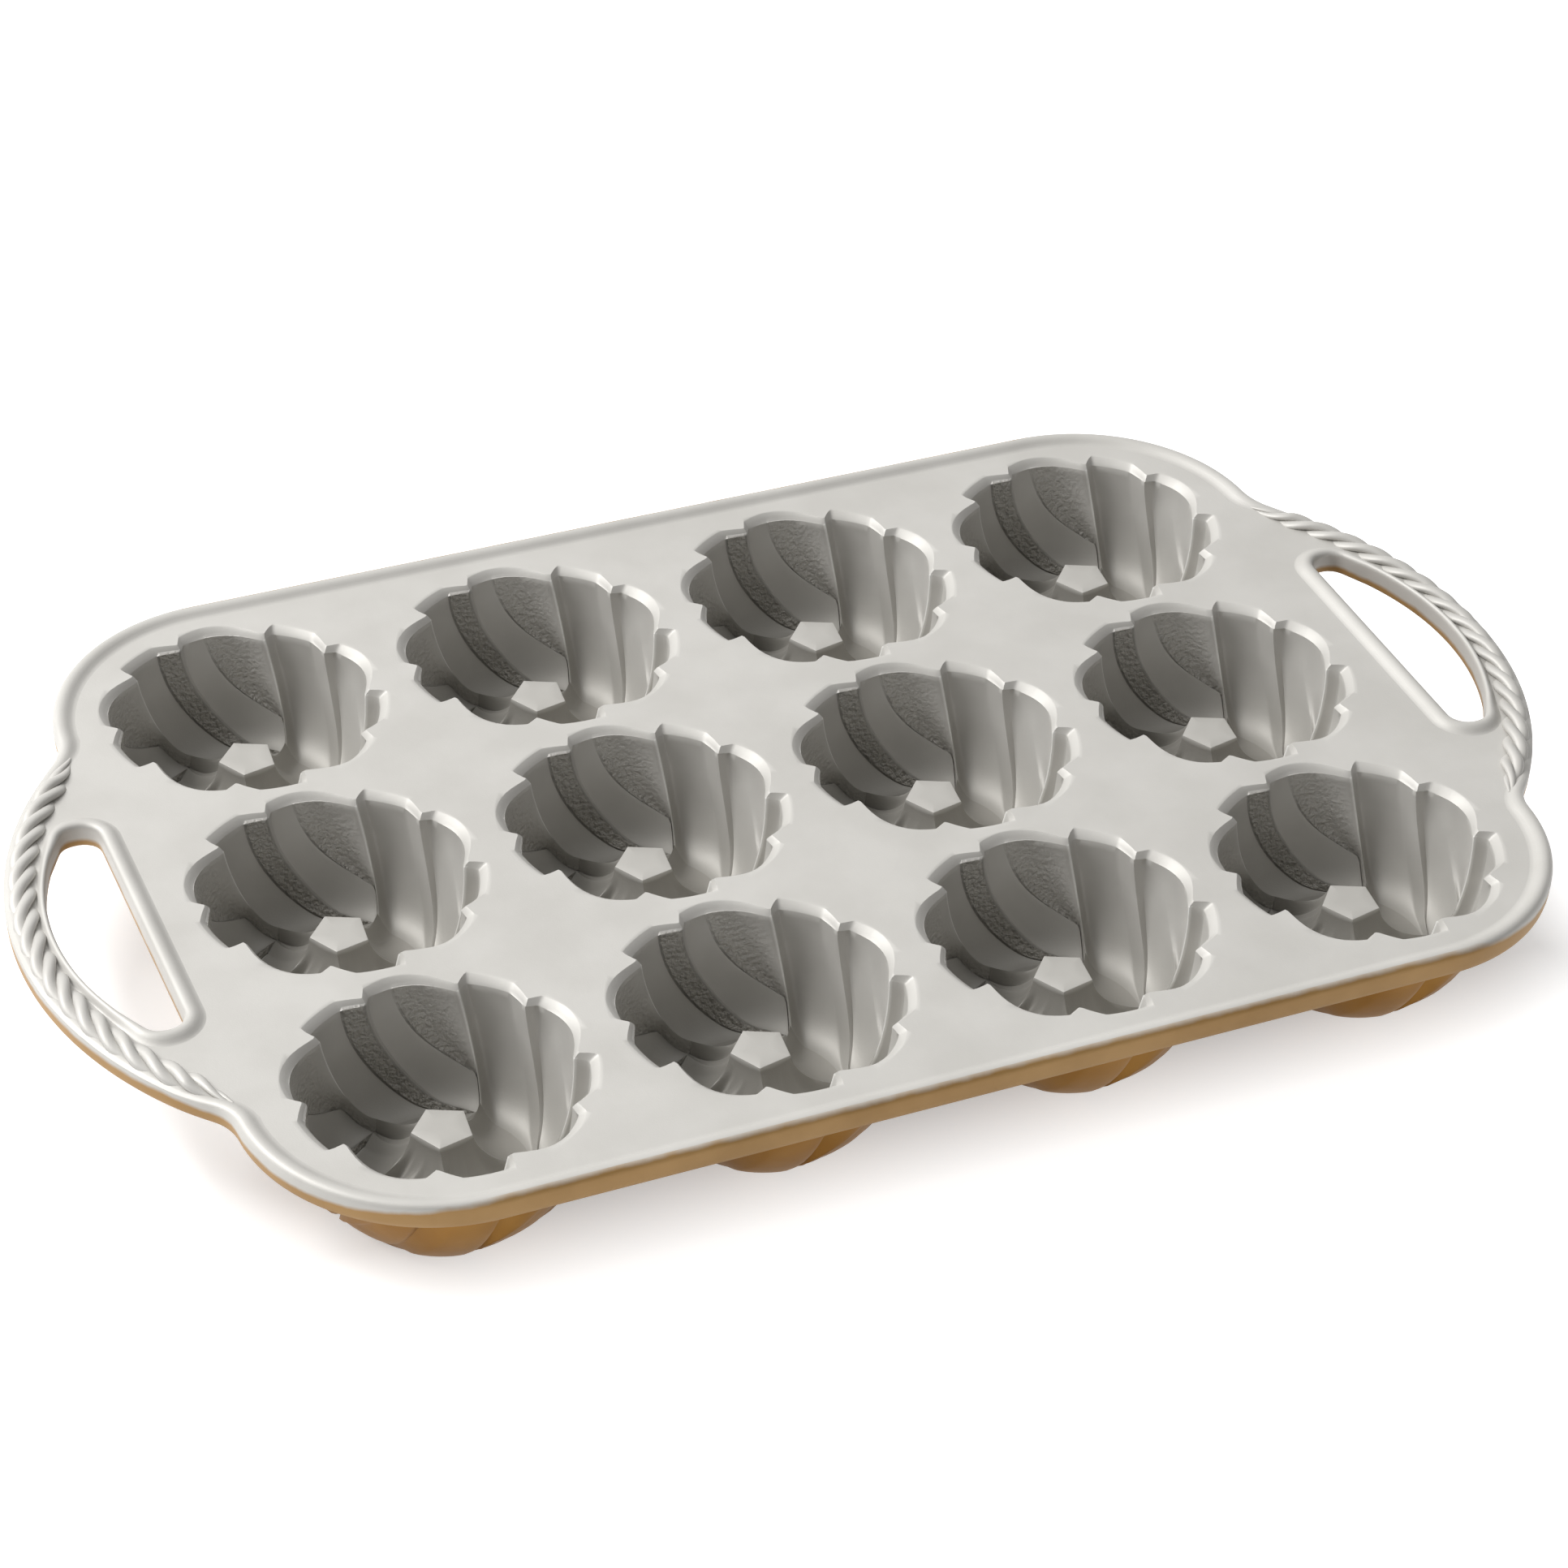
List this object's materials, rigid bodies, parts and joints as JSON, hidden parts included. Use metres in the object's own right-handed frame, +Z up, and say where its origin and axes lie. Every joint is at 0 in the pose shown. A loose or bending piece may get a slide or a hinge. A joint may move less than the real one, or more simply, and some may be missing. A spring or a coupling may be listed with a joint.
{
  "type": "mini fluted tube pan",
  "caption": "Cast mould pan with small fluted ring cups around five-sided posts, a flat deck, a raised rim and loop handles with a rope ornament.",
  "frame": {"origin": "centre of the pan's footprint, on the plane that the feet of the cups stand on", "axes": "+X along the pan towards the right-hand handle, +Y to the back, +Z up out of the cups"},
  "size_m": [0.414, 0.256, 0.0381],
  "materials": {
    "silver_nonstick": "satin pearl-grey non-stick coating with fine cast grain",
    "gold_exterior": "satin gold-tan baked coating"
  },
  "bodies": {
    "root": {"cup_1_1": "silver_nonstick", "cup_1_2": "silver_nonstick", "cup_1_3": "silver_nonstick", "cup_1_4": "silver_nonstick", "cup_2_1": "silver_nonstick", "cup_2_2": "silver_nonstick", "cup_2_3": "silver_nonstick", "cup_2_4": "silver_nonstick", "cup_3_1": "silver_nonstick", "cup_3_2": "silver_nonstick", "cup_3_3": "silver_nonstick", "cup_3_4": "silver_nonstick", "post_1_1": "silver_nonstick", "post_1_2": "silver_nonstick", "post_1_3": "silver_nonstick", "post_1_4": "silver_nonstick", "post_2_1": "silver_nonstick", "post_2_2": "silver_nonstick", "post_2_3": "silver_nonstick", "post_2_4": "silver_nonstick", "post_3_1": "silver_nonstick", "post_3_2": "silver_nonstick", "post_3_3": "silver_nonstick", "post_3_4": "silver_nonstick", "deck_1_1": "silver_nonstick", "deck_1_2": "silver_nonstick", "deck_1_3": "silver_nonstick", "deck_1_4": "silver_nonstick", "deck_2_1": "silver_nonstick", "deck_2_2": "silver_nonstick", "deck_2_3": "silver_nonstick", "deck_2_4": "silver_nonstick", "deck_3_1": "silver_nonstick", "deck_3_2": "silver_nonstick", "deck_3_3": "silver_nonstick", "deck_3_4": "silver_nonstick", "rim_front": "gold_exterior", "rim_back": "gold_exterior", "handle_left": "gold_exterior", "handle_right": "gold_exterior", "opening_bead_left": "silver_nonstick", "opening_bead_right": "silver_nonstick", "rope_left": "silver_nonstick", "rope_right": "silver_nonstick"}
  },
  "joints": []
}
